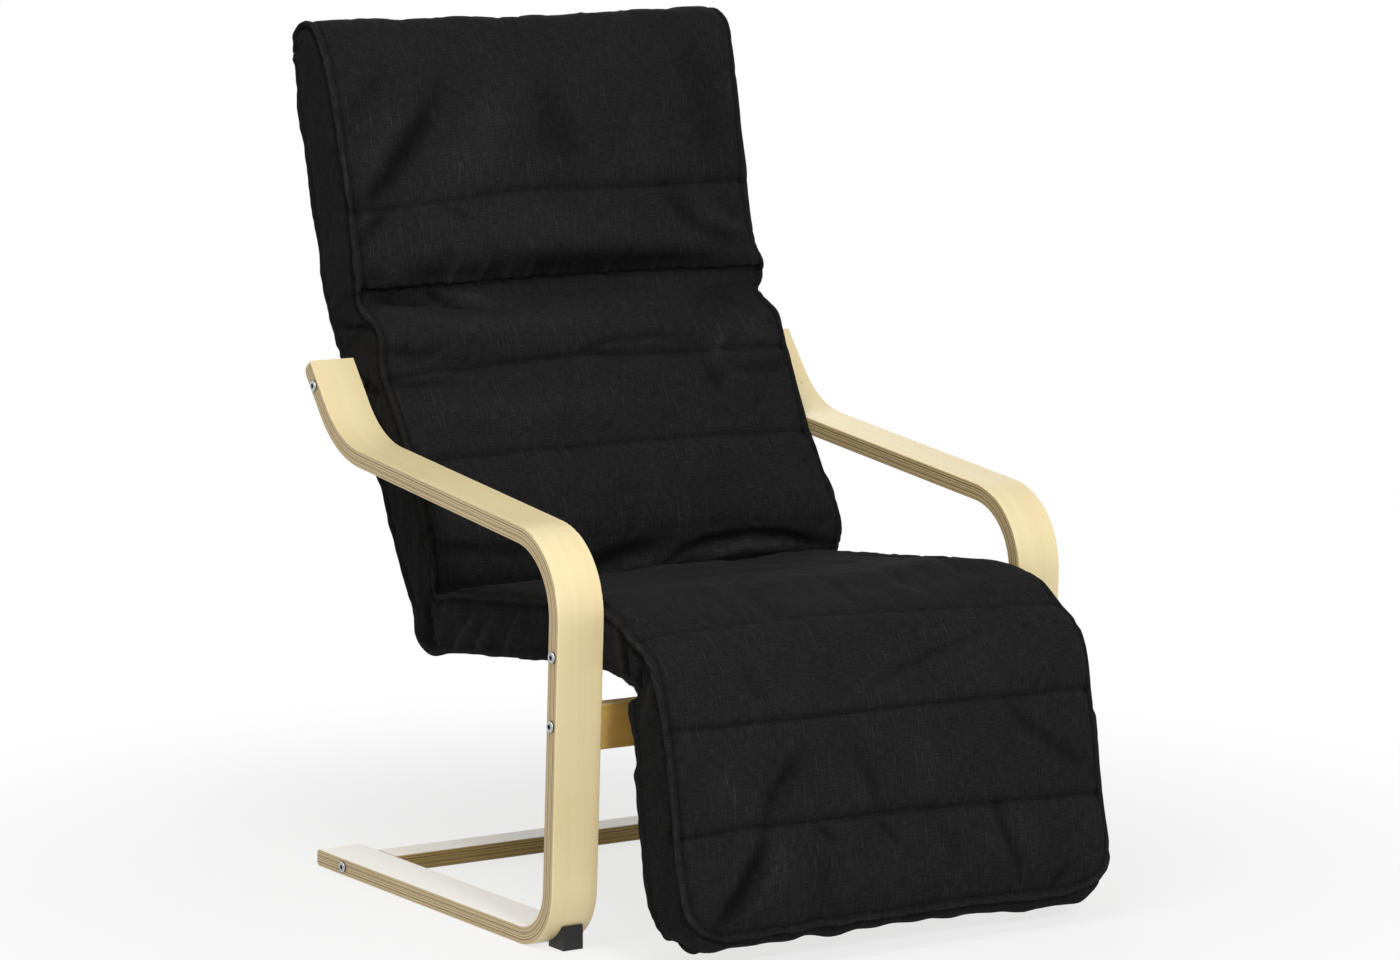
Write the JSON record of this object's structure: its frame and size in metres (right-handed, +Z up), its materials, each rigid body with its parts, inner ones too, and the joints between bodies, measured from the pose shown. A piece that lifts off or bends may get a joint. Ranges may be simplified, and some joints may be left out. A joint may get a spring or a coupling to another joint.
{
  "type": "recliner",
  "caption": "Bentwood cantilever lounge chair with a reclined padded back and seat and a ratchet-hinged footrest under one long channelled cushion",
  "frame": {"origin": "on the floor below the middle of the whole chair's width and depth", "axes": "+Z up; the sitter faces -Y and the footrest is at -Y; +X is the sitter's left"},
  "size_m": [0.6752, 0.882, 0.986],
  "materials": {
    "birch_plywood": "satin",
    "cushion_fabric": "matte",
    "elastic_strap": "matte",
    "foot_plastic": "matte",
    "zinc_steel": "satin",
    "bolt_steel": "satin"
  },
  "bodies": {
    "frame": {"back_rail_left": "birch_plywood", "back_rail_right": "birch_plywood", "back_side_panel_left": "cushion_fabric", "back_side_panel_right": "cushion_fabric", "back_slat_1": "birch_plywood", "back_slat_2": "birch_plywood", "back_slat_3": "birch_plywood", "back_slat_4": "birch_plywood", "back_slat_5": "birch_plywood", "back_slat_6": "birch_plywood", "back_slat_7": "birch_plywood", "back_strap": "elastic_strap", "barrel_nuts_left": "bolt_steel", "barrel_nuts_right": "bolt_steel", "cushion_back": "cushion_fabric", "cushion_knee": "cushion_fabric", "cushion_seat": "cushion_fabric", "foot_screws": "bolt_steel", "frame_bolts_left": "bolt_steel", "frame_bolts_right": "bolt_steel", "front_crossrail": "birch_plywood", "front_foot_left": "foot_plastic", "front_foot_right": "foot_plastic", "head_pocket": "cushion_fabric", "hinge_fixed_arm_left": "zinc_steel", "hinge_fixed_arm_right": "zinc_steel", "hinge_screws": "zinc_steel", "rear_crossrail": "birch_plywood", "seat_side_panel_left": "cushion_fabric", "seat_side_panel_right": "cushion_fabric", "seat_slat_1": "birch_plywood", "seat_slat_2": "birch_plywood", "seat_slat_3": "birch_plywood", "seat_slat_4": "birch_plywood", "seat_strap": "elastic_strap", "side_frame_left": "birch_plywood", "side_frame_right": "birch_plywood", "slat_screws": "bolt_steel", "spacer_sleeves": "bolt_steel"},
    "footrest": {"cushion_leg": "cushion_fabric", "foot_pocket": "cushion_fabric", "hinge_moving_arm_left": "zinc_steel", "hinge_moving_arm_right": "zinc_steel", "hinge_pawl_left": "zinc_steel", "hinge_pawl_right": "zinc_steel", "hinge_pin_left": "zinc_steel", "hinge_pin_right": "zinc_steel", "leg_hinge_screws": "zinc_steel", "leg_rail_left": "birch_plywood", "leg_rail_right": "birch_plywood", "leg_side_panel_left": "cushion_fabric", "leg_side_panel_right": "cushion_fabric", "leg_slat_1": "birch_plywood", "leg_slat_2": "birch_plywood", "leg_slat_3": "birch_plywood", "leg_slat_screws": "bolt_steel", "leg_strap": "elastic_strap"}
  },
  "joints": [
    {"name": "footrest_hinge", "type": "hinge", "parent": "frame", "child": "footrest", "pos_m": [0, -0.30652, 0.32169], "axis": [-1, 0, 0], "range_deg": [0, 75], "deforming": ["cushion_knee"]}
  ]
}
